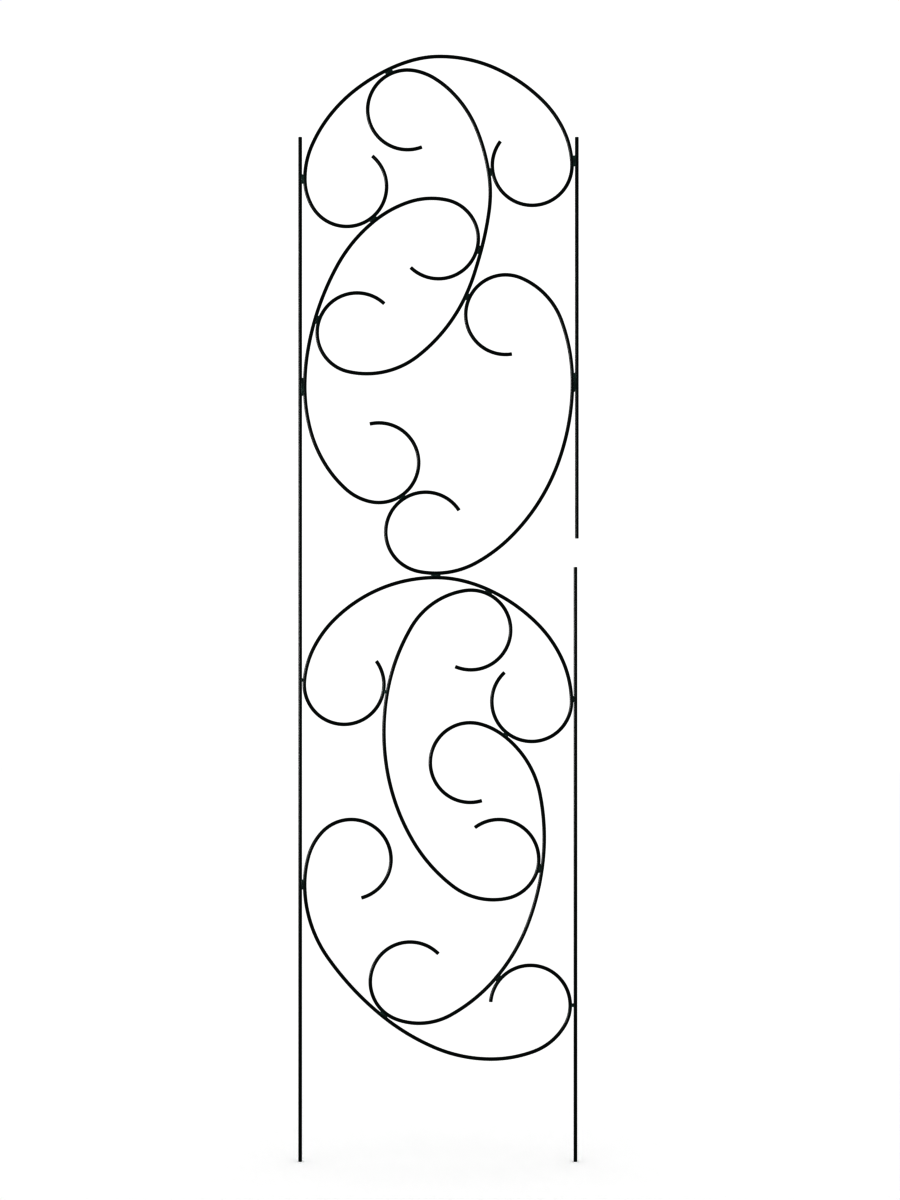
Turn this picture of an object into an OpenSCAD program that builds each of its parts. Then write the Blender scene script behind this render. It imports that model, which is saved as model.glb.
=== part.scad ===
// Espalier frame: a flat garden trellis of round steel bar.
// Posts stand at the sides, and eight C-scrolls between them are welded to each other and to the posts.
// X runs across the panel, Z runs up, and the feet stand at Z = 0.

/* [Frame] */
// Distance between the left post and the upper right post, centre to centre
post_spacing = 500; // [400:1:700]
// Height of the whole frame, from the feet to the top of the crown
frame_height = 2000; // [1600:1:2600]
// Clear length of the legs below the lowest scroll
leg_length = 182; // [80:1:320]

/* [Posts] */
// Diameter of the posts' round bar
post_d = 6; // [5:0.5:10]
// How far the posts reach above the crown's upper weld
post_stub = 51; // [20:1:120]
// Height of the open gap between the two right posts
post_gap = 52; // [10:1:160]
// How much nearer the lower right post stands to the left post
lower_post_inset = 2.5; // [0:0.5:10]

/* [Scrolls] */
// Diameter of the scrolls' round bar
scroll_d = 6; // [5:0.5:10]

/* [Welds] */
// Gap between two bars at a plain weld
weld_gap = 1.8; // [1.2:0.1:3]
// Diameter of a weld bead
weld_d = 6.8; // [6:0.1:9]
// Straight run of a full weld bead, without its round ends
weld_run = 9; // [4:0.5:12]

/* [Hidden] */
// Clearance between a weld bead and the bars that it sits on
weld_seat = 0.3;

// Colour of the enamel, and of the enamel where it pools on a weld
enamel = "#141a19";
weld_enamel = "#12302a";

// Sides of a bar and of a bead, and steps of a bend in a full turn
bar_sides = 24;
bead_sides = 96;
bend_steps = 256;

// Fineness to which a bend's radius in millimetres and its sweep in degrees are made
radius_step = 0.001;
sweep_step = 0.0001;

// How far a bend of the bar is lapped into the next, and how much thinner it is there
joint_lap = 0.5;
joint_step = 0.04;

// The least sum that two headings have to differ by before they count as two
same_heading = 0.000001;

// The panel that the scrolls fill, from the underside of the lowest to the top of the crown
half_spacing = post_spacing / 2;
panel_height = frame_height - leg_length;

// A curl is round at the usual proportions, and stretches with the panel
curl_across_share = 0.288;
curl_up_share = 0.0396;
curl_wide = curl_across_share * half_spacing;
curl_high = curl_up_share * panel_height;
// Stretches that a curl is bent in
curl_spans = 4;

// The posts, by number
LEFT = 0;
RIGHT_UPPER = 1;
RIGHT_LOWER = 2;

// The scrolls, by number
CROWN = 0;
INNER = 1;
UPPER_LEFT = 2;
UPPER_RIGHT = 3;
ARCH = 4;
LOWER_LEFT = 5;
LOWER_RIGHT = 6;
BASE = 7;

// The way that each scroll is bent from its first curl: 1 is to the left, -1 is to the right
turns = [-1, -1, 1, -1, -1, 1, -1, 1];

// The curls, by number: each scroll has two
CROWN_L = 0;
CROWN_R = 1;
INNER_T = 2;
INNER_B = 3;
UPPER_LEFT_T = 4;
UPPER_LEFT_B = 5;
UPPER_RIGHT_T = 6;
UPPER_RIGHT_B = 7;
ARCH_L = 8;
ARCH_R = 9;
LOWER_LEFT_T = 10;
LOWER_LEFT_B = 11;
LOWER_RIGHT_T = 12;
LOWER_RIGHT_B = 13;
BASE_L = 14;
BASE_R = 15;

// Ways to place a curl or a point of a scroll's back
FREE = 0;
ON_POST = 1;
ON_CURL = 2;
ON_SCROLL = 3;
AT_TOP = 4;
AT_BOTTOM = 5;

// A back goes round the outside of a curl that it holds, or past one that lies beyond it
ROUND = 1;
PAST = -1;

// Side of a level weld that a scroll lies on
ABOVE = 1;
BELOW = -1;

// Height of the middle of the right post's open gap
post_gap_share = 0.505;

// Centres of the curls. FREE: shares across and up. ON_POST: post, share up, share of the weld gap.
// ON_CURL: other curl, angle on it, share of the weld gap.
curl_shares = [
  [FREE, -0.663, 0.869],
  [ON_POST, RIGHT_UPPER, 0.89, 1.5],
  [FREE, -0.224, 0.9453],
  [FREE, -0.589, 0.7237],
  [FREE, 0, 0.817],
  [FREE, -0.431, 0.5945],
  [FREE, 0.485, 0.7417],
  [ON_CURL, UPPER_LEFT_B, -56, 0.6],
  [ON_POST, LEFT, 0.374, 0.8],
  [ON_POST, RIGHT_LOWER, 0.357, 0.6],
  [FREE, 0.234, 0.4282],
  [FREE, 0.437, 0.2002],
  [FREE, 0.229, 0.2964],
  [FREE, -0.205, 0.0784],
  [FREE, -0.631, 0.2002],
  [ON_POST, RIGHT_LOWER, 0.0552, 1.9],
];

// Angle on each curl at which the bar ends
curl_tips = [50, 143, -69, 47, 226, 103, -81, 33, 36, 133, 247, 127, -73, 45, -75, 175];

// Degrees of each curl before it opens into the back
curl_sweeps = [200, 220, 212, 210, 212, 205, 212, 205, 220, 228, 212, 205, 212, 205, 212, 205];

// Points of each scroll's back, in order from its first curl.
// FREE: shares across and up, heading. ON_POST: post, share up, share of the weld gap.
// ON_CURL: curl, angle on it, share of the weld gap, way round it.
// ON_SCROLL: shares across and up, share of the weld gap, side, other scroll, its point.
// AT_TOP and AT_BOTTOM: share across.
back_shares = [
  [
    [ON_POST, LEFT, 0.8765, 1.4],
    [FREE, -0.786, 0.9397, 52],
    [ON_CURL, INNER_T, 116, 1.6, ROUND],
    [AT_TOP, 0.011],
    [FREE, 0.757, 0.954, 315],
  ],
  [
    [FREE, 0.097, 0.963, 315],
    [ON_CURL, CROWN_R, 189, 0.9, PAST],
    [ON_CURL, UPPER_LEFT_T, -15, 1, ROUND],
    [ON_CURL, UPPER_RIGHT_T, 155, 1, PAST],
  ],
  [
    [ON_CURL, CROWN_L, -51, 1, PAST],
    [ON_CURL, INNER_B, 164, 0.9, ROUND],
    [ON_POST, LEFT, 0.67, 1.3],
    [FREE, -0.8, 0.589, 304],
  ],
  [
    [ON_POST, RIGHT_UPPER, 0.6745, 1.1],
    [FREE, 0.526, 0.5213, 225],
    [ON_SCROLL, -0.02, 0.4825, 1.1, ABOVE, ARCH, 1],
  ],
  [
    [FREE, -0.754, 0.4384, 45],
    [ON_SCROLL, -0.02, 0.4825, 1.1, BELOW, UPPER_RIGHT, 2],
    [ON_CURL, LOWER_LEFT_T, 65, 0.8, ROUND],
    [FREE, 0.715, 0.4344, 315],
  ],
  [
    [ON_CURL, ARCH_L, -10, 0.8, PAST],
    [FREE, -0.19, 0.2198, 300],
  ],
  [
    [ON_CURL, ARCH_R, 232, 0.9, PAST],
    [ON_CURL, LOWER_LEFT_B, -7, 0.8, ROUND],
    [ON_CURL, BASE_R, 140, 0.8, PAST],
  ],
  [
    [ON_POST, LEFT, 0.1752, 1.2],
    [ON_CURL, LOWER_RIGHT_B, 231, 0.8, ROUND],
    [AT_BOTTOM, 0.381],
  ],
];

// Places across and up the panel
function across(share) = share * half_spacing;
function up(share) = leg_length + share * panel_height;

// Gap between the bars at a weld
function gap(share) = share * weld_gap;

// The unit vector that points along an angle, and the angle that a vector points along
function pointing(angle) = [cos(angle), sin(angle)];
function heading(v) = atan2(v[1], v[0]);

// The same line, pointing up, or to the right if it is level
function upward(angle) = sin(angle) < 0 ? angle + 180 : angle;

// The same angle, within half a turn of zero
function within_half_turn(angle) = angle - 360 * round(angle / 360);

// Points, directions and outward unit vectors on a curl about its centre
function on_round(angle) = [curl_wide * cos(angle), curl_high * sin(angle)];
function along_round(angle) = [-curl_wide * sin(angle), curl_high * cos(angle)];
function out_of_round(angle) =
  let (v = [curl_high * cos(angle), curl_wide * sin(angle)])
  v / norm(v);

// Where each post stands across the panel, and the side of it that faces the scrolls
post_xs = [-half_spacing, half_spacing, half_spacing - lower_post_inset];
inward = [1, -1, -1];

// Heights of the posts' ends
post_top = up(curl_shares[CROWN_R][2]) + post_stub;
post_gap_z = up(post_gap_share);

// Centre line of a bar that is welded beside a post
function beside_post(post, gap_share) =
  post_xs[post] + inward[post] * (post_d / 2 + gap(gap_share) + scroll_d / 2);

// Centre of a curl
function curl_centre(curl) =
  let (row = curl_shares[curl])
  row[0] == ON_POST ? [beside_post(row[1], row[3]) + inward[row[1]] * curl_wide, up(row[2])]
  : row[0] == ON_CURL ? curl_centre(row[1]) + 2 * on_round(row[2])
                        + (scroll_d + gap(row[3])) * out_of_round(row[2])
  : [across(row[1]), up(row[2])];

// A knot is a point of a bar's centre line and its heading there: [x, z, heading]
function knot(point, angle) = [point[0], point[1], angle];

// Knot on a curl of a scroll that turns this way
function curl_knot(curl, turn, angle) =
  knot(curl_centre(curl) + on_round(angle), heading(turn * along_round(angle)));

// Knot of a scroll's back, from its row of shares
function back_knot(row, turn) =
  row[0] == ON_POST ? knot([beside_post(row[1], row[3]), up(row[2])], -90 * turn * inward[row[1]])
  : row[0] == ON_CURL ? knot(curl_centre(row[1]) + on_round(row[2])
                             + (scroll_d + gap(row[3])) * out_of_round(row[2]),
                             heading(turn * row[4] * along_round(row[2])))
  : row[0] == ON_SCROLL ? knot([across(row[1]), up(row[2]) + row[4] * (scroll_d + gap(row[3])) / 2],
                               turn * row[4] > 0 ? 0 : 180)
  : row[0] == AT_TOP ? knot([across(row[1]), frame_height - scroll_d / 2], turn < 0 ? 0 : 180)
  : row[0] == AT_BOTTOM ? knot([across(row[1]), leg_length + scroll_d / 2], turn > 0 ? 0 : 180)
  : knot([across(row[1]), up(row[2])], heading(on_round(row[3])));

// Knots of a whole scroll: its first curl from the tip, its back, and its second curl to the tip
function knots(scroll) =
  let (
    turn = turns[scroll],
    first = 2 * scroll,
    second = first + 1,
    opening = turn * curl_sweeps[first] / curl_spans,
    closing = turn * curl_sweeps[second] / curl_spans
  )
  [
    for (i = [0 : curl_spans]) curl_knot(first, turn, curl_tips[first] + i * opening),
    for (row = back_shares[scroll]) back_knot(row, turn),
    for (i = [curl_spans : -1 : 0]) curl_knot(second, turn, curl_tips[second] - i * closing),
  ];

// A bend is a radius and a sweep in degrees, both positive to the left and negative to the right.
// This one starts at a point along a heading and ends at another point.
function bend_to(from, angle, to) =
  let (
    chord = to - from,
    sweep = 2 * within_half_turn(heading(chord) - angle)
  )
  [norm(chord) / (2 * sin(sweep / 2)), sweep];

// The two tangent bends that join one knot to the next
function two_bends(start, end) =
  let (
    from = [start[0], start[1]],
    to = [end[0], end[1]],
    leaving = pointing(start[2]),
    arriving = pointing(end[2]),
    chord = to - from,
    both = leaving + arriving,
    spread = 2 * (1 - leaving * arriving),
    reach = spread < same_heading
      ? chord * chord / (4 * (chord * arriving))
      : (sqrt((chord * both) * (chord * both) + spread * (chord * chord)) - chord * both) / spread,
    middle = (from + to + reach * (leaving - arriving)) / 2,
    first = bend_to(from, start[2], middle)
  )
  [first, bend_to(middle, start[2] + first[1], to)];

// Degrees that a length takes up on a bend
function turned_by(length, radius) = length / radius * 180 / PI;

// A number made to the given step
function made_to(value, step) = step * round(value / step);

// All bends of a scroll, from tip to tip
function bends(scroll) =
  let (points = knots(scroll))
  [
    for (i = [0 : len(points) - 2])
      for (bend = two_bends(points[i], points[i + 1]))
        [made_to(bend[0], radius_step), made_to(bend[1], sweep_step)],
  ];

scroll_starts = [for (scroll = [CROWN : BASE]) knots(scroll)[0]];
scroll_bends = [for (scroll = [CROWN : BASE]) bends(scroll)];

// The stretch of a scroll's bends that makes a curl and its opening, or that lies about a point of its back
function curl_stretch(curl) =
  let (
    scroll = floor(curl / 2),
    count = 2 * (curl_spans + 1),
    first = curl % 2 == 0 ? 0 : len(scroll_bends[scroll]) - count
  )
  [scroll, first, first + count - 1];
function back_stretch(scroll, point) =
  let (first = 2 * (curl_spans + point))
  [scroll, first, first + 3];

// Where the bead of a weld lies and which way it runs, from the row that places a bar there
function bead_place(row) =
  row[0] == ON_POST
    ? knot([post_xs[row[1]] + inward[row[1]] * (post_d + gap(row[3])) / 2, up(row[2])], 90)
  : row[0] == ON_CURL
    ? knot(curl_centre(row[1]) + on_round(row[2]) + (scroll_d + gap(row[3])) / 2 * out_of_round(row[2]),
           upward(heading(along_round(row[2]))))
  : knot([across(row[1]), up(row[2])], 0);

// The bar that the placed bar is welded to: a post's number, or a stretch of a scroll
function held_by(row) =
  row[0] == ON_POST ? [row[1]]
  : row[0] == ON_CURL ? curl_stretch(row[1])
  : back_stretch(row[5], row[6]);

// The same place, moved along the bead by a share of a full bead's run
function moved_along(place, share) =
  knot([place[0], place[1]] + share * weld_run * pointing(place[2]), place[2]);

// A weld is its name, the share of a full bead's run that it takes, its place and the two bars that it joins.
// Its bead can lie a share of a full run further up than the place where its bars are closest.
function curl_weld(name, curl, run_share, rise_share = 0) =
  let (row = curl_shares[curl])
  [name, run_share, moved_along(bead_place(row), rise_share), curl_stretch(curl), held_by(row)];
function back_weld(name, scroll, point, run_share, rise_share = 0) =
  let (row = back_shares[scroll][point])
  [name, run_share, moved_along(bead_place(row), rise_share), back_stretch(scroll, point), held_by(row)];

// Share of a full bead's run on a nub that just bridges its gap
nub_share = 0.1;

welds = [
  back_weld("weld_crown_left_post", CROWN, 0, 1.6),
  curl_weld("weld_crown_right_post", CROWN_R, 2, 0.9),
  back_weld("weld_crown_inner_scroll", CROWN, 2, 1.3),
  back_weld("weld_crown_upper_left_scroll", UPPER_LEFT, 0, 1.3),
  back_weld("weld_crown_inner_scroll_side", INNER, 1, 1.2),
  back_weld("weld_inner_upper_left_curl", INNER, 2, 1.4),
  back_weld("weld_inner_curl_upper_left_back", UPPER_LEFT, 1, 1.4, 0.3),
  back_weld("weld_upper_left_post", UPPER_LEFT, 2, 3.4),
  back_weld("weld_inner_upper_right_curl", INNER, 3, 1),
  back_weld("weld_upper_right_post", UPPER_RIGHT, 0, 3.6),
  curl_weld("weld_upper_left_upper_right_curls", UPPER_RIGHT_B, 1),
  back_weld("weld_upper_right_arch", UPPER_RIGHT, 2, 1.7),
  curl_weld("weld_arch_left_post", ARCH_L, nub_share, 0.9),
  back_weld("weld_arch_lower_left_side", LOWER_LEFT, 0, nub_share),
  back_weld("weld_arch_lower_left_top", ARCH, 2, 1.1),
  curl_weld("weld_arch_right_post", ARCH_R, 0.8, 0.5),
  back_weld("weld_arch_lower_right_scroll", LOWER_RIGHT, 0, 0.7),
  back_weld("weld_lower_left_lower_right", LOWER_RIGHT, 1, 1.5, -0.8),
  back_weld("weld_lower_right_base_curl", LOWER_RIGHT, 2, 1.1),
  back_weld("weld_lower_right_curl_base_back", BASE, 1, 1.5),
  back_weld("weld_base_left_post", BASE, 0, 1.8),
  curl_weld("weld_base_right_post", BASE_R, nub_share),
];
weld_names = [for (weld = welds) weld[0]];

// A straight post between two heights
module post(number, low, high, d = post_d) {
  translate([post_xs[number], 0, low])
    cylinder(d = d, h = high - low, $fn = bead_sides);
}

// One bend of a bar that starts at the origin along Y, in the XY plane.
// Every second bend is a hair thinner and is lapped into the bends on both sides of it.
module bend(rows, i, d) {
  radius = abs(rows[i][0]);
  thin = i % 2 == 1;
  lap = thin ? turned_by(joint_lap, radius) : 0;
  far_lap = i < len(rows) - 1 ? lap : 0;
  mirror([rows[i][0] < 0 ? 1 : 0, 0, 0])
    translate([-radius, 0, 0])
      rotate([0, 0, -lap])
        rotate_extrude(angle = lap + abs(rows[i][1]) + far_lap, $fn = bend_steps)
          translate([radius, 0])
            circle(d = thin ? d - joint_step : d, $fn = bar_sides);
}

// Puts what follows a bend at that bend's far end
module after(row) {
  translate([-row[0], 0, 0])
    rotate([0, 0, row[1]])
      translate([row[0], 0, 0])
        children();
}

// The bends of a bar from the first to the last that are wanted, each at the end of the one before
module bend_chain(rows, first, last, d, i = 0) {
  if (i >= first)
    bend(rows, i, d);
  if (i < last)
    after(rows[i])
      bend_chain(rows, first, last, d, i + 1);
}

// A stretch of a scroll's bar, stood upright where it belongs
module scroll_stretch(stretch, d) {
  start = scroll_starts[stretch[0]];
  translate([start[0], 0, start[1]])
    rotate([90, 0, 0])
      rotate([0, 0, start[2] - 90])
        bend_chain(scroll_bends[stretch[0]], stretch[1], stretch[2], d);
}

// A whole scroll
module scroll(number) {
  color(enamel)
    scroll_stretch([number, 0, len(scroll_bends[number]) - 1], scroll_d);
}

// A bead with round ends, along X
module bead(run) {
  rotate([0, 90, 0])
    cylinder(d = weld_d, h = run, center = true, $fn = bead_sides);
  for (side = [-1, 1])
    translate([side * run / 2, 0, 0])
      sphere(d = weld_d, $fn = bead_sides);
}

// The bar that a weld sits on, with the bead's clearance
module seat(bar) {
  if (len(bar) == 1)
    post(bar[0], 0, frame_height, post_d + 2 * weld_seat);
  else
    scroll_stretch(bar, scroll_d + 2 * weld_seat);
}

// A weld between two bars
module weld(row) {
  place = row[2];
  color(weld_enamel)
    difference() {
      translate([place[0], 0, place[1]])
        rotate([0, -place[2], 0])
          bead(row[1] * weld_run);
      seat(row[3]);
      seat(row[4]);
    }
}

module left_post() {
  color(enamel)
    post(LEFT, 0, post_top);
}

module right_post_upper() {
  color(enamel)
    post(RIGHT_UPPER, post_gap_z + post_gap / 2, post_top);
}

module right_post_lower() {
  color(enamel)
    post(RIGHT_LOWER, 0, post_gap_z - post_gap / 2);
}

module crown_scroll() {
  scroll(CROWN);
}

module upper_inner_scroll() {
  scroll(INNER);
}

module upper_left_scroll() {
  scroll(UPPER_LEFT);
}

module upper_right_scroll() {
  scroll(UPPER_RIGHT);
}

module middle_arch_scroll() {
  scroll(ARCH);
}

module lower_left_scroll() {
  scroll(LOWER_LEFT);
}

module lower_right_scroll() {
  scroll(LOWER_RIGHT);
}

module base_scroll() {
  scroll(BASE);
}

left_post();
right_post_upper();
right_post_lower();
crown_scroll();
upper_inner_scroll();
upper_left_scroll();
upper_right_scroll();
middle_arch_scroll();
lower_left_scroll();
lower_right_scroll();
base_scroll();
for (i = [0 : len(welds) - 1])
  weld(welds[i]);
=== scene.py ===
"""Espalier frame: a garden trellis of black enamelled steel bar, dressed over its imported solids."""

import logging
import math
from dataclasses import dataclass, field
from enum import Enum
from typing import Any

import bmesh
import bpy
import numpy as np
from mathutils import Matrix, Vector


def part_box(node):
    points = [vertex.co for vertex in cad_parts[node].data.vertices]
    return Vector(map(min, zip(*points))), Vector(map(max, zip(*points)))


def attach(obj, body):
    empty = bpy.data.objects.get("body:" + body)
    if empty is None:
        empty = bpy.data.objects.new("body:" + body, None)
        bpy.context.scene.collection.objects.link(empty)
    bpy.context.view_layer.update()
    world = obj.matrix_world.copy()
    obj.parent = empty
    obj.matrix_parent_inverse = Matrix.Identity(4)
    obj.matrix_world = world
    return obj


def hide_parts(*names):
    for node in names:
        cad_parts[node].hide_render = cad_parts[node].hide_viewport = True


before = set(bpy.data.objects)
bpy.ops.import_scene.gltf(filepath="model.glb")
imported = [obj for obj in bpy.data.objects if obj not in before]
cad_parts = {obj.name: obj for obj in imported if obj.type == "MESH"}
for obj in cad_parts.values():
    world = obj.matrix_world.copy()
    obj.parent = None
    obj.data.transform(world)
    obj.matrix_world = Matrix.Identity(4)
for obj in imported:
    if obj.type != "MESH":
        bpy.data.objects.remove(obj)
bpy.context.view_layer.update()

log = logging.getLogger("espalier")

MM = 0.001
BAR_DIAMETER = 6.0 * MM

Socket = bpy.types.NodeSocket
Colour = tuple[float, float, float, float]
Place = tuple[float, float, float]


class Slot(Enum):
    """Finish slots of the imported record."""

    BAR = "enamelled_bar"
    WELD = "enamelled_weld"


class Body(Enum):
    """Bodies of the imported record."""

    FRAME = "root"


class Mark(Enum):
    """Attributes that a bar's mesh carries for its enamel."""

    BAR_PLACE = "bar_place"
    WELD_NEAR = "weld_near"


class Kept(Enum):
    """Kinds of value that the points of a geometry can keep."""

    NUMBER = "FLOAT"
    VECTOR = "VECTOR"


class Ramp(Enum):
    """Ways to spread one band of values over another."""

    EVEN = "LINEAR"
    SOFT = "SMOOTHSTEP"


class Term:
    """A number in a node tree, which sums are written with."""

    def __init__(self, write: "NodeWriter", socket: Socket) -> None:
        """Keeps the tree's writer and the output that holds the number."""
        self.write = write
        self.socket = socket

    def __add__(self, other: "Term | float") -> "Term":
        """Adds another number."""
        return self.write.math("ADD", self, other)

    def __sub__(self, other: "Term | float") -> "Term":
        """Takes another number away."""
        return self.write.math("SUBTRACT", self, other)

    def __rsub__(self, other: float) -> "Term":
        """Takes this number away from a plain one."""
        return self.write.math("SUBTRACT", other, self)

    def __mul__(self, other: "Term | float") -> "Term":
        """Multiplies by another number."""
        return self.write.math("MULTIPLY", self, other)

    def __truediv__(self, other: "Term | float") -> "Term":
        """Divides by another number."""
        return self.write.math("DIVIDE", self, other)

    def __pow__(self, other: "Term | float") -> "Term":
        """Raises this number to a power."""
        return self.write.math("POWER", self, other)


class NodeWriter:
    """Writes the nodes and links of one node tree."""

    def __init__(self, tree: bpy.types.NodeTree) -> None:
        """Keeps the tree that is written to."""
        self.tree = tree

    def node(self, kind: str, feeds: dict[str, Any] | None = None, **settings: Any) -> bpy.types.Node:
        """Adds a node.

        Args:
            kind: The node's type name.
            feeds: What goes into the node, by the input's name: a term, an output or a plain value.
            **settings: Properties of the node, by name.

        Returns:
            The new node.
        """
        made = self.tree.nodes.new(kind)
        for name, value in settings.items():
            setattr(made, name, value)
        for name, value in (feeds or {}).items():
            self.feed(made.inputs[name], value)
        return made

    def feed(self, socket: Socket, value: Any) -> None:
        """Links a number or an output to an input, or sets the input's own value.

        Args:
            socket: The input that is fed.
            value: A term, an output or a plain value.
        """
        if isinstance(value, Term):
            value = value.socket
        if isinstance(value, Socket):
            self.tree.links.new(value, socket)
        else:
            socket.default_value = value

    def math(self, operation: str, *values: Term | float) -> Term:
        """Adds one sum.

        Args:
            operation: The sum's type name.
            *values: The numbers, in order.

        Returns:
            The result.
        """
        made = self.node("ShaderNodeMath", operation=operation)
        for socket, value in zip(made.inputs, values):
            self.feed(socket, value)
        return Term(self, made.outputs[0])

    def combine(self, x: Any, y: Any, z: Any) -> Socket:
        """Returns the output that holds three numbers as one vector."""
        return self.node("ShaderNodeCombineXYZ", {"X": x, "Y": y, "Z": z}).outputs[0]

    def separate(self, vector: Socket) -> list[Term]:
        """Returns the X, Y and Z of a vector as numbers."""
        made = self.node("ShaderNodeSeparateXYZ", {"Vector": vector})
        return [Term(self, socket) for socket in made.outputs]


class GeometryTree:
    """A Geometry Nodes tree with named inputs, which ends in a plain, dressed mesh."""

    def __init__(self, name: str, inputs: dict[str, str]) -> None:
        """Starts the tree.

        Args:
            name: The tree's name.
            inputs: The socket type of each input, by the input's name, apart from the number of sides
                and the finish, which every tree takes.
        """
        self.tree = bpy.data.node_groups.new(name, "GeometryNodeTree")
        self.write = NodeWriter(self.tree)
        face = self.tree.interface
        face.new_socket("Geometry", in_out="INPUT", socket_type="NodeSocketGeometry")
        face.new_socket("Geometry", in_out="OUTPUT", socket_type="NodeSocketGeometry")
        inputs = inputs | {"Sides": "NodeSocketInt", "Finish": "NodeSocketMaterial"}
        self.identifiers = {
            title: face.new_socket(title, in_out="INPUT", socket_type=kind).identifier
            for title, kind in inputs.items()
        }
        self.given = self.write.node("NodeGroupInput").outputs

    def term(self, title: str) -> Term:
        """Returns one of the tree's inputs as a number."""
        return Term(self.write, self.given[title])

    def capture(self, geometry: Socket, kind: Kept, value: Socket) -> tuple[Socket, Socket]:
        """Keeps a value on the points of a geometry.

        Args:
            geometry: The output that holds the geometry.
            kind: The kind of value.
            value: The output that holds the value.

        Returns:
            The outputs that hold the geometry with the value on it, and the value.
        """
        made = self.write.node("GeometryNodeCaptureAttribute", domain="POINT")
        made.capture_items.new(kind.value, "Value")
        self.write.feed(made.inputs["Geometry"], geometry)
        self.write.feed(made.inputs["Value"], value)
        return made.outputs["Geometry"], made.outputs["Value"]

    def ring(self, radius: Term | float) -> tuple[Socket, list[Term]]:
        """Adds the round profile of a sweep.

        Args:
            radius: The ring's radius.

        Returns:
            The output that holds the profile, and the place on it as X, Y and Z.
        """
        made = self.write.node(
            "GeometryNodeCurvePrimitiveCircle",
            {"Resolution": self.given["Sides"], "Radius": radius},
            mode="RADIUS",
        )
        place = self.write.node("GeometryNodeInputPosition").outputs[0]
        profile, place = self.capture(made.outputs["Curve"], Kept.VECTOR, place)
        return profile, self.write.separate(place)

    def sweep(self, path: Socket, profile: Socket, capped: bool) -> Socket:
        """Returns the mesh of a profile swept along a path, with its ends closed if it is capped."""
        feeds = {"Curve": path, "Profile Curve": profile, "Fill Caps": capped}
        return self.write.node("GeometryNodeCurveToMesh", feeds).outputs["Mesh"]

    def keep(self, mesh: Socket, mark: Mark, value: Socket) -> Socket:
        """Stores a vector on the mesh under a name that a finish can read.

        Args:
            mesh: The output that holds the mesh.
            mark: The attribute.
            value: The output that holds the vector.

        Returns:
            The output that holds the mesh with the attribute.
        """
        made = self.write.node(
            "GeometryNodeStoreNamedAttribute",
            {"Geometry": mesh, "Name": mark.value},
            data_type="FLOAT_VECTOR",
            domain="POINT",
        )
        self.write.feed(made.inputs["Value"], value)
        return made.outputs["Geometry"]

    def end(self, mesh: Socket) -> None:
        """Ends the tree: smooth faces, real geometry and the finish.

        Args:
            mesh: The output that holds the mesh.
        """
        for kind in ("GeometryNodeSetShadeSmooth", "GeometryNodeRealizeInstances"):
            mesh = self.write.node(kind, {"Geometry": mesh}).outputs["Geometry"]
        feeds = {"Geometry": mesh, "Material": self.given["Finish"]}
        dressed = self.write.node("GeometryNodeSetMaterial", feeds).outputs["Geometry"]
        self.write.node("NodeGroupOutput", {"Geometry": dressed})

    def run(self, start: bpy.types.Object, name: str, values: dict[str, Any]) -> bpy.types.Object:
        """Runs the tree once and keeps its result as a plain mesh object.

        Args:
            start: The object that the tree starts from, which is removed afterwards.
            name: Name of the finished piece.
            values: Values of the tree's inputs, by name.

        Returns:
            The finished piece, at the origin, with no modifier.
        """
        bpy.context.scene.collection.objects.link(start)
        modifier = start.modifiers.new(self.tree.name, "NODES")
        modifier.node_group = self.tree
        for title, value in values.items():
            modifier[self.identifiers[title]] = value
        graph = bpy.context.evaluated_depsgraph_get()
        mesh = bpy.data.meshes.new_from_object(start.evaluated_get(graph), depsgraph=graph)
        bpy.data.objects.remove(start)
        mesh.name = name
        piece = bpy.data.objects.new(name, mesh)
        bpy.context.scene.collection.objects.link(piece)
        return piece


class BarSweep(GeometryTree):
    """Round bar along a path, with its place along the bar kept for the enamel."""

    def __init__(self) -> None:
        """Writes the tree."""
        super().__init__("bar sweep", {"Bar Diameter": "NodeSocketFloat"})
        along = self.write.node("GeometryNodeSplineParameter").outputs["Length"]
        path, along = self.capture(self.given["Geometry"], Kept.NUMBER, along)
        profile, (x, y, _) = self.ring(self.term("Bar Diameter") / 2.0)
        mesh = self.sweep(path, profile, True)
        self.end(self.keep(mesh, Mark.BAR_PLACE, self.write.combine(x, y, along)))


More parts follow.
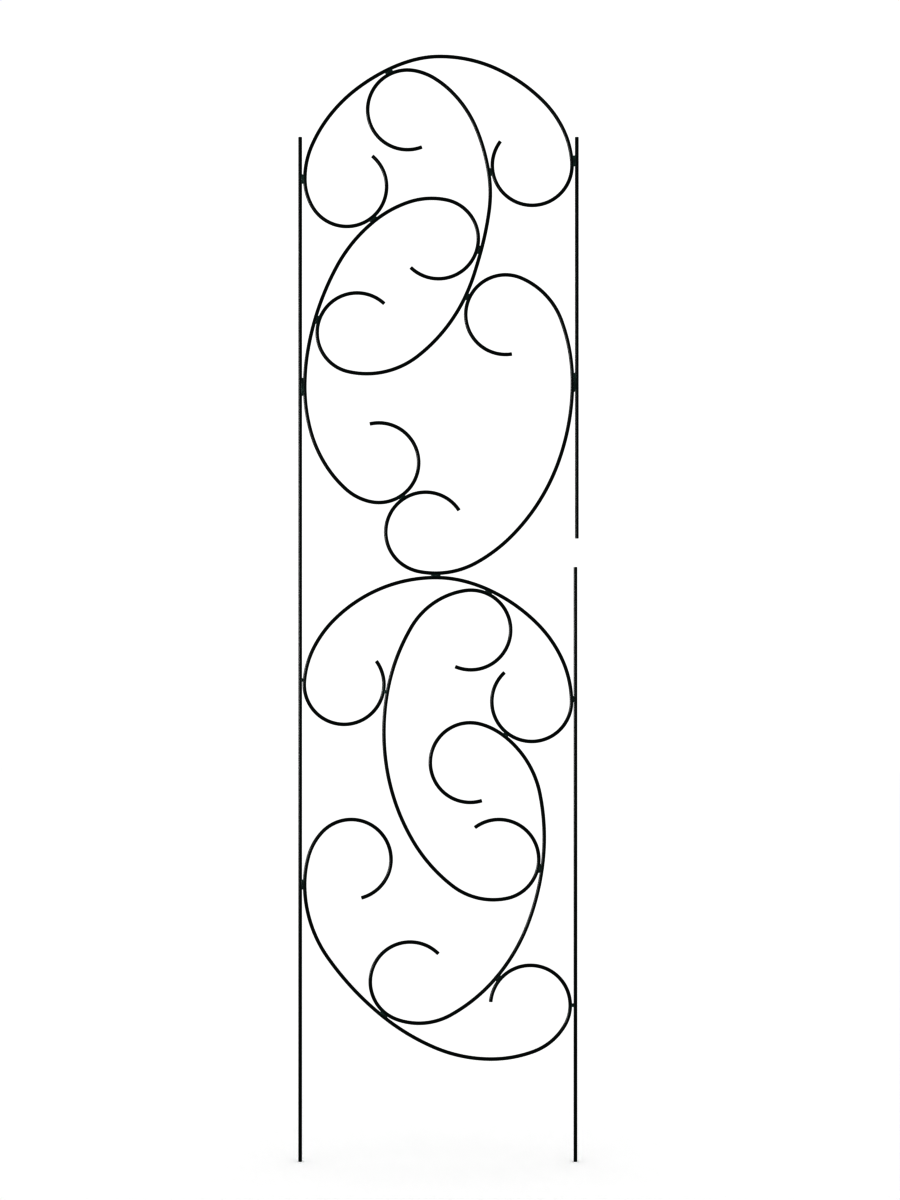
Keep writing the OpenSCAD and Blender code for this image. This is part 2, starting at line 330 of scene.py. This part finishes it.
class BeadSweep(GeometryTree):
    """A weld bead that fills the valley between two bars, rippled along its run.

    The bead is made lying down: X runs along the seam, Y goes from one bar to the other and Z is its
    height. It starts as a unit ring along a line, and every point is then moved to its place.

    Attributes:
        NUMBERS: The tree's inputs that are plain numbers.
        EDGE_SHARE: Share of the ring under which a point lies on the edge between the two faces.
        END_SQUARENESS: Power of the curve that rounds the two ends off.
        HUMP_SHARPNESS: Power of the curve by which the crown rises from the toes.
        LUMP_LEVEL: Level of the noise that leaves the height as it is.
        FACE_OFFSET: Depth in the noise of the front's lumps. The back's lie as deep on the other side.
        MERGE_REACH: Distance under which two points become one.
    """

    NUMBERS = (
        "Half Run", "Half Separation", "Spread", "Lean", "Toe Width", "Toe Height", "Crown", "Wetting",
        "Ripple Step", "Ripple Height", "Ripple Bow", "Lump Height", "Lump Scale", "Seed",
    )
    EDGE_SHARE = 0.001
    END_SQUARENESS = 4.0
    HUMP_SHARPNESS = 2.0
    LUMP_LEVEL = 0.75
    FACE_OFFSET = 10.0 * MM
    MERGE_REACH = 0.002 * MM

    def __init__(self) -> None:
        """Writes the tree."""
        inputs = {title: "NodeSocketFloat" for title in self.NUMBERS} | {"Rings": "NodeSocketInt"}
        super().__init__("bead sweep", inputs)
        write = self.write
        ends = {"Start": (-1.0, 0.0, 0.0), "End": (1.0, 0.0, 0.0)}
        line = write.node("GeometryNodeCurvePrimitiveLine", ends).outputs["Curve"]
        feeds = {"Curve": line, "Count": self.given["Rings"]}
        steps = write.node("GeometryNodeResampleCurve", feeds, mode="COUNT").outputs["Curve"]
        share = write.node("GeometryNodeSplineParameter").outputs["Factor"]
        path, share = self.capture(steps, Kept.NUMBER, share)
        profile, (across, side, _) = self.ring(1.0)
        mesh = self.sweep(path, profile, False)
        feeds = {"Geometry": mesh, "Position": self._surface(Term(write, share), across, side)}
        mesh = write.node("GeometryNodeSetPosition", feeds).outputs["Geometry"]
        feeds = {"Geometry": mesh, "Distance": self.MERGE_REACH}
        self.end(write.node("GeometryNodeMergeByDistance", feeds).outputs["Geometry"])

    def _surface(self, share: Term, across: Term, side: Term) -> Socket:
        """Works out where each point of the bead lies.

        Args:
            share: The share of the run, from 0 to 1.
            across: The place on the unit ring, from one bar to the other.
            side: The place on the unit ring, from the back to the front.

        Returns:
            The output that holds the position.
        """
        write, term = self.write, self.term
        front = write.math("SIGN", write.math("TRUNC", side / self.EDGE_SHARE))
        reach = write.math("SINE", (share - 0.5) * math.pi)
        square = across * across
        x = reach * (term("Half Run") - term("Wetting") * (1.0 - square))
        run = x * x
        width = term("Half Separation") + term("Spread") * run - term("Toe Width")
        y = term("Lean") * run + across * width
        left = 1.0 - write.math("ABSOLUTE", reach) ** self.END_SQUARENESS
        taper = write.math("MAXIMUM", left, 0.0) ** (1.0 / self.END_SQUARENESS)
        hump = write.math("MAXIMUM", 1.0 - square, 0.0) ** self.HUMP_SHARPNESS
        height = term("Toe Height") + term("Crown") * hump
        height = height + self._ripple(x, square) * hump + self._lump(x, y, front) * hump
        return write.combine(x, y, front * taper * height)

    def _ripple(self, x: Term, square: Term) -> Term:
        """Works out the ripples that the weld pool leaves, bowed along the run.

        Args:
            x: The place along the run.
            square: The square of the place across, from 0 to 1.

        Returns:
            The height of the ripples, zero at their crests.
        """
        wave = self.write.math("FRACT", x / self.term("Ripple Step") + self.term("Ripple Bow") * square)
        arc = wave * (1.0 - wave) * 4.0
        return (arc - 1.0) * self.term("Ripple Height")

    def _lump(self, x: Term, y: Term, front: Term) -> Term:
        """Works out the uneven lumps of a bead laid by hand, other ones on its two faces.

        Args:
            x: The place along the run.
            y: The place across.
            front: 1 on the front face, -1 on the back and 0 on the edge between them.

        Returns:
            The height of the lumps.
        """
        place = self.write.combine(x, y, front * self.FACE_OFFSET)
        feeds = {"Vector": place, "W": self.given["Seed"], "Scale": self.given["Lump Scale"]}
        noise = self.write.node("ShaderNodeTexNoise", feeds, noise_dimensions="4D")
        return (Term(self.write, noise.outputs["Fac"]) - self.LUMP_LEVEL) * self.term("Lump Height")


@dataclass(frozen=True)
class Cloud:
    """A cloudy noise: its clouds to the metre, and the number and strength of its finer layers."""

    scale: float
    detail: float = 2.0
    roughness: float = 0.5

    def add(self, write: NodeWriter, coords: Socket) -> Term:
        """Adds the noise to a finish.

        Args:
            write: Writer of the finish's tree.
            coords: The output that holds the coordinates.

        Returns:
            The noise, from 0 to 1.
        """
        layers = {"Scale": self.scale, "Detail": self.detail, "Roughness": self.roughness}
        made = write.node("ShaderNodeTexNoise", {"Vector": coords} | layers)
        return Term(write, made.outputs["Fac"])


@dataclass(frozen=True)
class Band:
    """A band of values, from its start to its end."""

    start: float
    end: float

    def onto(self, write: NodeWriter, value: Term, other: "Band", way: Ramp) -> Term:
        """Spreads this band of a value over another band.

        Args:
            write: Writer of the finish's tree.
            value: The value.
            other: The band that it is spread over.
            way: How it is spread.

        Returns:
            The spread value.
        """
        feeds = {"Value": value, "From Min": self.start, "From Max": self.end}
        feeds |= {"To Min": other.start, "To Max": other.end}
        made = write.node("ShaderNodeMapRange", feeds, interpolation_type=way.value)
        return Term(write, made.outputs["Result"])


WHOLE = Band(0.0, 1.0)


@dataclass(frozen=True)
class Enamel:
    """Stoved enamel over steel: near black, a little green where it is thick.

    Attributes:
        name: The material's name.
        thin_colour: Colour of a thin coat.
        thick_colour: Colour of a thick coat.
        thick_share: Share of the thick colour in the thickest clouds.
        roughness: Roughness, from the smoothest streaks to the dullest.
        on_bar: Whether the coat lies on a bar, with its welds and its drawn marks.
        mottle: Clouds of thin and thick enamel.
        mottle_band: Levels of those clouds, from thin to thick.
        pooled_share: Share of the thick colour beside a weld, before the clouds add theirs.
        streak: Clouds of smooth and dull enamel.
        streak_band: Levels of those clouds, from smooth to dull.
        peel: Fine waves of the coat.
        peel_height: Height of the waves.
        nib_scale: Specks in the coat to the metre.
        nib_band: Distances from a speck's middle, from its foot to its top, as shares of its cell.
        nib_height: Height of a speck.
        marks: Drawn marks of the bar.
        mark_stretch: Width of a mark as a share of its length.
        mark_height: Height of a mark.
        refraction: Refractive index of the coat.
        specular: Level of the coat's gloss.
    """

    name: str
    thin_colour: Colour
    thick_colour: Colour
    thick_share: float
    roughness: Band
    on_bar: bool
    mottle: Cloud = Cloud(46.0, 4.0, 0.62)
    mottle_band: Band = Band(0.44, 0.66)
    pooled_share: float = 0.25
    streak: Cloud = Cloud(27.6)
    streak_band: Band = Band(0.32, 0.68)
    peel: Cloud = Cloud(620.0)
    peel_height: float = 0.003 * MM
    nib_scale: float = 130.0
    nib_band: Band = Band(0.12, 0.02)
    nib_height: float = 0.008 * MM
    marks: Cloud = Cloud(950.0, 2.0, 0.6)
    mark_stretch: float = 0.035
    mark_height: float = 0.003 * MM
    refraction: float = 1.5
    specular: float = 0.45

    def make(self) -> bpy.types.Material:
        """Writes the finish.

        Returns:
            The material.
        """
        material = bpy.data.materials.new(self.name)
        material.use_nodes = True
        material.node_tree.nodes.clear()
        write = NodeWriter(material.node_tree)
        coords = write.node("ShaderNodeTexCoord").outputs["Object"]
        relief = {"Strength": 1.0, "Distance": 1.0, "Height": self._relief(write, coords)}
        streak = self.streak.add(write, coords)
        feeds = {
            "Base Color": self._colour(write, coords),
            "Roughness": self.streak_band.onto(write, streak, self.roughness, Ramp.EVEN),
            "IOR": self.refraction,
            "Specular IOR Level": self.specular,
            "Normal": write.node("ShaderNodeBump", relief).outputs["Normal"],
        }
        shader = write.node("ShaderNodeBsdfPrincipled", feeds).outputs["BSDF"]
        write.node("ShaderNodeOutputMaterial", {"Surface": shader})
        return material

    def _colour(self, write: NodeWriter, coords: Socket) -> Socket:
        """Adds the colour, which turns to that of thick enamel in clouds and beside a weld.

        Args:
            write: Writer of the finish's tree.
            coords: The output that holds the coordinates.

        Returns:
            The output that holds the colour.
        """
        mottle = self.mottle.add(write, coords)
        thick = self.mottle_band.onto(write, mottle, WHOLE, Ramp.SOFT)
        share = thick * self.thick_share
        if self.on_bar:
            near = write.node("ShaderNodeAttribute", attribute_name=Mark.WELD_NEAR.value)
            pooled = Term(write, near.outputs["Fac"]) * (thick + self.pooled_share)
            share = write.math("MAXIMUM", share, pooled)
        feeds = {"Factor": share, "A": self.thin_colour, "B": self.thick_colour}
        mix = write.node("ShaderNodeMix", feeds, data_type="RGBA", clamp_factor=True)
        return mix.outputs["Result"]

    def _relief(self, write: NodeWriter, coords: Socket) -> Term:
        """Adds the coat's fine relief: its waves, the specks in it and the bar's drawn marks.

        Args:
            write: Writer of the finish's tree.
            coords: The output that holds the coordinates.

        Returns:
            The height of the relief.
        """
        feeds = {"Vector": coords, "Scale": self.nib_scale}
        nibs = write.node("ShaderNodeTexVoronoi", feeds, feature="F1")
        nib = self.nib_band.onto(write, Term(write, nibs.outputs["Distance"]), WHOLE, Ramp.SOFT)
        height = self.peel.add(write, coords) * self.peel_height + nib * self.nib_height
        if self.on_bar:
            height = height + self._drawn_marks(write)
        return height

    def _drawn_marks(self, write: NodeWriter) -> Term:
        """Adds the faint lengthwise marks of drawn bar, which show through the enamel.

        Args:
            write: Writer of the finish's tree.

        Returns:
            The height of the marks.
        """
        place = write.node("ShaderNodeAttribute", attribute_name=Mark.BAR_PLACE.value)
        feeds = {"Vector": place.outputs["Vector"], "Scale": (1.0, 1.0, self.mark_stretch)}
        drawn = write.node("ShaderNodeMapping", feeds).outputs["Vector"]
        return self.marks.add(write, drawn) * self.mark_height


def points_of(mesh: bpy.types.Mesh) -> np.ndarray:
    """Reads the points of a mesh.

    Args:
        mesh: The mesh.

    Returns:
        One row of X, Y and Z for each point.
    """
    place = np.empty(3 * len(mesh.vertices))
    mesh.vertices.foreach_get("co", place)
    return place.reshape(-1, 3)


def settle(piece: bpy.types.Object, node: str) -> None:
    """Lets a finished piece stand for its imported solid.

    Args:
        piece: The finished piece.
        node: The solid's node.
    """
    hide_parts(node)
    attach(piece, Body.FRAME.value)
    log.info("%s: %d faces", piece.name, len(piece.data.polygons))


@dataclass
class BarPath:
    """Centre line of one bar, flat in the XZ plane, from one cut end to the other.

    Attributes:
        node: The bar's node.
        decimals: Decimals of a metre that points are rounded to, so that doubles become one.
        ridge_share: Share of the bar's radius in depth, past which a point lies on the bar's ridge.
        ridge_reach: Distance within which points on the ridge belong to one ring.
        ring_reach: Distance from the ridge, seen from the front, within which points are of its ring.
        points: X and Z of the centre line's points.
        headings: The bar's heading at each of them.
    """

    node: str
    decimals: int = 7
    ridge_share: float = 0.985
    ridge_reach: float = 1.5 * MM
    ring_reach: float = 3.6 * MM
    points: np.ndarray = field(init=False)
    headings: np.ndarray = field(init=False)

    def __post_init__(self) -> None:
        """Finds the centre line from the bar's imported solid."""
        middles, headings = self._rings()
        order = self._in_order(middles)
        self.points, headings = middles[order], headings[order]
        forward = np.gradient(self.points, axis=0)
        self.headings = headings * np.sign(np.sum(headings * forward, axis=1))[:, None]

    def _rings(self) -> tuple[np.ndarray, np.ndarray]:
        """Finds the rings of points that the solid is made of, each of them square to the bar.

        Returns:
            The middle of each ring, seen from the front, and the bar's heading there.
        """
        place = np.round(points_of(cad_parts[self.node].data), self.decimals)
        place = np.unique(place, axis=0)
        flat, depth = place[:, [0, 2]], place[:, 1]
        ridge = flat[depth > self.ridge_share * depth.max()]
        middles, headings = [], []
        while len(ridge):
            mine = np.linalg.norm(ridge - ridge[0], axis=1) < self.ridge_reach
            seed, ridge = ridge[mine].mean(axis=0), ridge[~mine]
            mine = np.linalg.norm(flat - seed, axis=1) < self.ring_reach
            ring, deep = flat[mine] - seed, depth[mine]
            across = np.linalg.svd(ring - ring.mean(axis=0), full_matrices=False)[2][0]
            off = ring @ across
            # The middle of the circle through the ring's points, by least squares.
            sums = np.column_stack([2 * off, np.ones_like(off)])
            middle = np.linalg.lstsq(sums, off**2 + deep**2, rcond=None)[0][0]
            middles.append(seed + ring.mean(axis=0) + across * (middle - off.mean()))
            headings.append((across[1], -across[0]))
        return np.array(middles), np.array(headings)

    @staticmethod
    def _in_order(points: np.ndarray) -> list[int]:
        """Puts points of a line in order, from any point out to both ends.

        Args:
            points: The points, in any order.

        Returns:
            The points' numbers, from one end to the other.
        """
        order, left = [0], list(range(1, len(points)))
        while left:
            away = [np.linalg.norm(points[left] - points[end], axis=1) for end in (order[0], order[-1])]
            if away[0].min() < away[1].min():
                order.insert(0, left.pop(int(np.argmin(away[0]))))
            else:
                order.append(left.pop(int(np.argmin(away[1]))))
        return order

    @property
    def lengths(self) -> np.ndarray:
        """Length of the bar up to each point."""
        steps = np.linalg.norm(np.diff(self.points, axis=0), axis=1)
        return np.concatenate([[0.0], np.cumsum(steps)])

    def at(self, wanted: np.ndarray) -> np.ndarray:
        """Finds points along the bar, on a smooth curve through the centre line's own points.

        Args:
            wanted: Lengths along the bar.

        Returns:
            The points.
        """
        lengths, points = self.lengths, self.points
        i = np.clip(np.searchsorted(lengths, wanted, side="right") - 1, 0, len(points) - 2)
        step = (lengths[i + 1] - lengths[i])[:, None]
        t = (wanted - lengths[i])[:, None] / step
        return (
            (2 * t**3 - 3 * t**2 + 1) * points[i]
            + (t**3 - 2 * t**2 + t) * step * self.headings[i]
            + (-2 * t**3 + 3 * t**2) * points[i + 1]
            + (t**3 - t**2) * step * self.headings[i + 1]
        )


@dataclass
class Bars:
    """A group of bars of one diameter, with the saw's burr rubbed off their cut ends.

    Attributes:
        names: The bars' nodes.
        finish: Their enamel.
        ring_step: Step between the rings of points along a bar.
        diameter: Diameter of a bar.
        rim: Radius of the rubbed rim at a cut end.
        rim_rings: Rings of points round a rim.
        sides: Points of a ring.
        weld_reach: Distance from a weld over which its thick enamel runs out.
        paths: Centre lines, by node.
        pieces: Finished bars, by node.
    """

    names: tuple[str, ...]
    finish: bpy.types.Material
    ring_step: float
    diameter: float = BAR_DIAMETER
    rim: float = 0.5 * MM
    rim_rings: int = 5
    sides: int = 32
    weld_reach: float = 10.0 * MM
    paths: dict[str, BarPath] = field(default_factory=dict)
    pieces: dict[str, bpy.types.Object] = field(default_factory=dict)

    def build(self, sweep: BarSweep) -> None:
        """Builds every bar of the group.

        Args:
            sweep: The tree that sweeps a bar.
        """
        sizes = {"Bar Diameter": self.diameter, "Sides": self.sides, "Finish": self.finish}
        for name in self.names:
            self.paths[name] = BarPath(name)
            self.pieces[name] = sweep.run(self._curve(name), "enamelled_" + name, sizes)

    def _curve(self, name: str) -> bpy.types.Object:
        """Draws the path that a bar is swept along, thinner at its two rims.

        Args:
            name: The bar's node.

        Returns:
            A curve object, not yet in the scene.
        """
        path = self.paths[name]
        total = float(path.lengths[-1])
        turned = np.linspace(0.0, math.pi / 2, self.rim_rings)
        rim_run, rim_in = self.rim * (1 - np.cos(turned)), self.rim * (1 - np.sin(turned))
        count = max(2, round((total - 2 * self.rim) / self.ring_step))
        middle = np.linspace(self.rim, total - self.rim, count + 1)[1:-1]
        wanted = np.concatenate([rim_run, middle, total - rim_run[::-1]])
        narrowed = np.concatenate([rim_in, 0 * middle, rim_in[::-1]])
        curve = bpy.data.curves.new(name + "_path", "CURVE")
        curve.dimensions = "3D"
        spline = curve.splines.new("POLY")
        spline.points.add(len(wanted) - 1)
        for point, (x, z), less in zip(spline.points, path.at(wanted), narrowed):
            point.co = (x, 0.0, z, 1.0)
            point.radius = 1 - less / (self.diameter / 2)
        return bpy.data.objects.new(name + "_path", curve)

    def dress(self, welds: np.ndarray) -> None:
        """Marks where the enamel lies thick beside a weld, and puts every bar in its place.

        Args:
            welds: Lowest and highest corner of each weld bead's box.
        """
        for name, piece in self.pieces.items():
            place = points_of(piece.data)[:, None]
            away = np.maximum(np.maximum(welds[:, 0] - place, place - welds[:, 1]), 0.0)
            away = np.linalg.norm(away, axis=2).min(axis=1)
            near = piece.data.attributes.new(Mark.WELD_NEAR.value, "FLOAT", "POINT")
            near.data.foreach_set("value", np.exp(-((away / self.weld_reach) ** 2)).astype(np.float32))
            settle(piece, name)


@dataclass
class WeldBeads:
    """The weld beads, each fitted to the valley between the two bars that it joins.

    Attributes:
        names: The beads' nodes.
        finish: Their enamel.
        bar_radius: Radius of the bars.
        toe_angle: Degrees round a bar, from the line between the two bars to the bead's toe.
        tuck: How far a toe is tucked into its bar.
        crown: Height of the crown over the toes.
        wetting: How far the middle of an end draws back from its toes, at most.
        wetting_share: The same as a share of half the bead's length, where that is less.
        ripple_step: Step between the ripples.
        ripple_height: Depth of the grooves between them.
        ripple_bow: How far a ripple is bowed at the toes, in steps.
        lump_height: Height from the lowest to the highest lump.
        lump_scale: Lumps to the metre.
        seed_step: Step between the seeds of two beads.
        ring_step: Mean step between the rings of points along a bead.
        sides: Points of a ring.
        path_step: Step between the points of a bar that a bead is fitted to.
        fit_reach: How far past a bead's ends the bars are fitted.
        pieces: Finished beads, by node.
    """

    names: tuple[str, ...]
    finish: bpy.types.Material
    bar_radius: float = BAR_DIAMETER / 2
    toe_angle: float = 60.0
    tuck: float = 0.1 * MM
    crown: float = 0.5 * MM
    wetting: float = 3.0 * MM
    wetting_share: float = 0.25
    ripple_step: float = 1.25 * MM
    ripple_height: float = 0.2 * MM
    ripple_bow: float = 0.7
    lump_height: float = 0.3 * MM
    lump_scale: float = 260.0
    seed_step: float = 7.0
    ring_step: float = 0.18 * MM
    sides: int = 40
    path_step: float = 1.0 * MM
    fit_reach: float = 6.0 * MM
    pieces: dict[str, bpy.types.Object] = field(default_factory=dict)

    def boxes(self) -> np.ndarray:
        """Returns the lowest and highest corner of every bead's box."""
        return np.array([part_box(name) for name in self.names])

    def build(self, sweep: BeadSweep, paths: list[BarPath]) -> None:
        """Builds every bead.

        Args:
            sweep: The tree that makes a bead.
            paths: Centre lines of all bars.
        """
        totals = [path.lengths[-1] for path in paths]
        bars = [
            path.at(np.linspace(0.0, total, round(total / self.path_step)))
            for path, total in zip(paths, totals)
        ]
        middles = self.boxes().mean(axis=1)[:, [0, 2]]
        for number, (name, middle) in enumerate(zip(self.names, middles)):
            place, valley = self._valley(name, middle, bars)
            start = bpy.data.objects.new(name + "_start", bpy.data.meshes.new(name + "_start"))
            sizes = valley | self._form(valley["Half Run"]) | {"Seed": self.seed_step * number}
            piece = sweep.run(start, "enamelled_" + name, sizes)
            piece.data.transform(place)
            self._turn_outwards(piece.data)
            self.pieces[name] = piece

    def _form(self, half_run: float) -> dict[str, Any]:
        """Works out the form of a bead.

        Args:
            half_run: Half of the bead's length.

        Returns:
            The sizes of its form, by the tree's input names.
        """
        toe = math.radians(self.toe_angle)
        return {
            "Toe Width": self.bar_radius * math.cos(toe) - self.tuck,
            "Toe Height": self.bar_radius * math.sin(toe) - self.tuck / 2,
            "Crown": self.crown,
            "Wetting": min(self.wetting, self.wetting_share * half_run),
            "Ripple Step": self.ripple_step,
            "Ripple Height": self.ripple_height,
            "Ripple Bow": self.ripple_bow,
            "Lump Height": self.lump_height,
            "Lump Scale": self.lump_scale,
            "Rings": round(2 * half_run / self.ring_step),
            "Sides": self.sides,
            "Finish": self.finish,
        }

    def _valley(
        self, name: str, middle: np.ndarray, bars: list[np.ndarray]
    ) -> tuple[Matrix, dict[str, float]]:
        """Measures the valley that a bead fills, with each bar taken as a parabola beside the bead.

        Args:
            name: The bead's node.
            middle: The bead's middle, seen from the front.
            bars: Close points along every bar.

        Returns:
            The place of the lying bead, and the valley's sizes by the tree's input names.
        """
        nearest = sorted(bars, key=lambda bar: float(np.linalg.norm(bar - middle, axis=1).min()))[:2]
        ends = [bar[np.argmin(np.linalg.norm(bar - middle, axis=1))] for bar in nearest]
        across = (ends[1] - ends[0]) / np.linalg.norm(ends[1] - ends[0])
        along = np.array([across[1], -across[0]])
        run = points_of(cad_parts[name].data)[:, [0, 2]] @ along
        half_run = float(run.max() - run.min()) / 2
        bends = []
        for bar in nearest:
            off = bar - middle
            off = off[np.linalg.norm(off, axis=1) < half_run + self.fit_reach]
            bends.append(np.polyfit(off @ along, off @ across, 2))
        middle = middle + (bends[0][2] + bends[1][2]) / 2 * across
        place = Matrix((
            (along[0], across[0], 0.0, middle[0]),
            (0.0, 0.0, -1.0, 0.0),
            (along[1], across[1], 0.0, middle[1]),
            (0.0, 0.0, 0.0, 1.0),
        ))
        return place, {
            "Half Run": half_run,
            "Half Separation": float(bends[1][2] - bends[0][2]) / 2,
            "Spread": float(bends[1][0] - bends[0][0]) / 2,
            "Lean": float(bends[1][0] + bends[0][0]) / 2,
        }

    @staticmethod
    def _turn_outwards(mesh: bpy.types.Mesh) -> None:
        """Makes every face of a closed mesh point outwards.

        Args:
            mesh: The mesh.
        """
        work = bmesh.new()
        work.from_mesh(mesh)
        bmesh.ops.recalc_face_normals(work, faces=work.faces)
        work.to_mesh(mesh)
        work.free()

    def dress(self) -> None:
        """Puts every bead in its place."""
        for name, piece in self.pieces.items():
            settle(piece, name)


@dataclass(frozen=True)
class Softbox:
    """A soft lamp that shows only in the enamel's gloss, so that the floor stays even.

    Attributes:
        name: The lamp's name.
        place: Where it hangs.
        size: Its width and height.
        power: Its power in watts.
        aim: The point that it faces.
    """

    name: str
    place: Place
    size: tuple[float, float]
    power: float
    aim: Place = (0.0, 0.0, 1.1)

    def hang(self) -> None:
        """Hangs the lamp, facing the panel."""
        data = bpy.data.lights.new(self.name, "AREA")
        data.shape = "RECTANGLE"
        data.size, data.size_y = self.size
        data.energy = self.power
        lamp = bpy.data.objects.new(self.name, data)
        lamp.location = self.place
        towards = Vector(self.aim) - Vector(self.place)
        lamp.rotation_euler = towards.to_track_quat("-Z", "Y").to_euler()
        lamp.visible_diffuse = False
        bpy.context.scene.collection.objects.link(lamp)


@dataclass
class Studio:
    """A white room with soft light, and a camera square to the panel.

    Attributes:
        middle: X and Z of the view's middle.
        distance: Distance from the camera to the panel.
        seen_height: Height of the view at the panel.
        sensor: Longer side of the camera's sensor, in millimetres.
        display_gamma: Gamma of the picture, which gives the thin bars their line weight.
        floor_reach: Half of the floor's side.
        floor_colour: Colour of the floor.
        floor_roughness: Roughness of the floor.
        sky: Strength of the sky.
        glossy_sky: Strength of the sky in the enamel's gloss.
        softboxes: The lamps.
    """

    middle: tuple[float, float] = (0.0208, 1.0147)
    distance: float = 6.0
    seen_height: float = 2.1688
    sensor: float = 36.0
    display_gamma: float = 0.5
    floor_reach: float = 14.0
    floor_colour: Colour = (0.99, 0.99, 0.99, 1.0)
    floor_roughness: float = 0.9
    sky: float = 1.03
    glossy_sky: float = 0.03
    softboxes: tuple[Softbox, ...] = (
        Softbox("side_softbox", (-4.4, -1.3, 1.2), (1.6, 1.9), 240.0),
        Softbox("front_softbox", (-2.0, -4.3, 0.9), (0.6, 0.6), 32.0),
        Softbox("back_softbox", (1.6, 4.0, 1.6), (1.2, 1.2), 4.0),
    )

    def build(self) -> None:
        """Builds the floor, the sky, the lamps and the camera."""
        self._floor()
        self._sky()
        for softbox in self.softboxes:
            softbox.hang()
        self._camera()

    def _floor(self) -> None:
        """Lays the pale floor."""
        low, high = -self.floor_reach, self.floor_reach
        mesh = bpy.data.meshes.new("pale_floor")
        corners = [(low, low, 0.0), (high, low, 0.0), (high, high, 0.0), (low, high, 0.0)]
        mesh.from_pydata(corners, [], [(0, 1, 2, 3)])
        floor = bpy.data.objects.new("pale_floor", mesh)
        material = bpy.data.materials.new("pale_floor")
        material.use_nodes = True
        shader = material.node_tree.nodes["Principled BSDF"]
        shader.inputs["Base Color"].default_value = self.floor_colour
        shader.inputs["Roughness"].default_value = self.floor_roughness
        shader.inputs["Specular IOR Level"].default_value = 0.0
        mesh.materials.append(material)
        floor.visible_glossy = False
        bpy.context.scene.collection.objects.link(floor)

    def _sky(self) -> None:
        """Lights the room evenly, with a dimmer sky in the enamel's gloss."""
        world = bpy.data.worlds.new("white_room")
        world.use_nodes = True
        world.node_tree.nodes.clear()
        write = NodeWriter(world.node_tree)
        glossy = Term(write, write.node("ShaderNodeLightPath").outputs["Is Glossy Ray"])
        dim = write.math("MULTIPLY_ADD", glossy, self.glossy_sky - self.sky, self.sky)
        feeds = {"Color": (1.0, 1.0, 1.0, 1.0), "Strength": dim}
        sky = write.node("ShaderNodeBackground", feeds).outputs["Background"]
        write.node("ShaderNodeOutputWorld", {"Surface": sky})
        bpy.context.scene.world = world

    def _camera(self) -> None:
        """Sets up the camera, level and square to the panel."""
        data = bpy.data.cameras.new("front_camera")
        data.sensor_width = self.sensor
        data.lens = self.sensor * self.distance / self.seen_height
        camera = bpy.data.objects.new("front_camera", data)
        camera.location = (self.middle[0], -self.distance, self.middle[1])
        camera.rotation_euler = (math.pi / 2, 0.0, 0.0)
        scene = bpy.context.scene
        scene.collection.objects.link(camera)
        scene.camera = camera
        scene.view_settings.view_transform = "Standard"
        scene.view_settings.gamma = self.display_gamma


def main() -> None:
    """Builds the room and the trellis, piece by piece."""
    logging.basicConfig(level=logging.INFO, format="%(name)s: %(message)s")
    Studio().build()
    bar_enamel = Enamel(
        name="black_enamel",
        thin_colour=(0.0100, 0.0180, 0.0150, 1.0),
        thick_colour=(0.0160, 0.0390, 0.0330, 1.0),
        thick_share=0.4,
        roughness=Band(0.22, 0.28),
        on_bar=True,
    ).make()
    # The beads' colours are lighter and greener than the bars'. This is partly the thick green enamel
    # pooled on a bead, and partly a painted sheen that stands in for the highlight on the beads.
    weld_enamel_with_painted_sheen = Enamel(
        name="pooled_enamel_and_painted_sheen",
        thin_colour=(0.0400, 0.0720, 0.0630, 1.0),
        thick_colour=(0.0750, 0.1400, 0.1200, 1.0),
        thick_share=1.0,
        roughness=Band(0.12, 0.26),
        on_bar=False,
    ).make()
    names = sorted(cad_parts)
    welds = tuple(name for name in names if name.startswith("weld"))
    scroll_bars = tuple(name for name in names if name.endswith("_scroll") and name not in welds)
    post_bars = tuple(name for name in names if "post" in name and name not in welds)
    posts = Bars(post_bars, bar_enamel, ring_step=25 * MM)
    scrolls = Bars(scroll_bars, bar_enamel, ring_step=2 * MM)
    beads = WeldBeads(welds, weld_enamel_with_painted_sheen)
    bar_sweep = BarSweep()
    for bars in (posts, scrolls):
        bars.build(bar_sweep)
        bars.dress(beads.boxes())
    beads.build(BeadSweep(), [*posts.paths.values(), *scrolls.paths.values()])
    beads.dress()


if __name__ == "__main__":
    main()
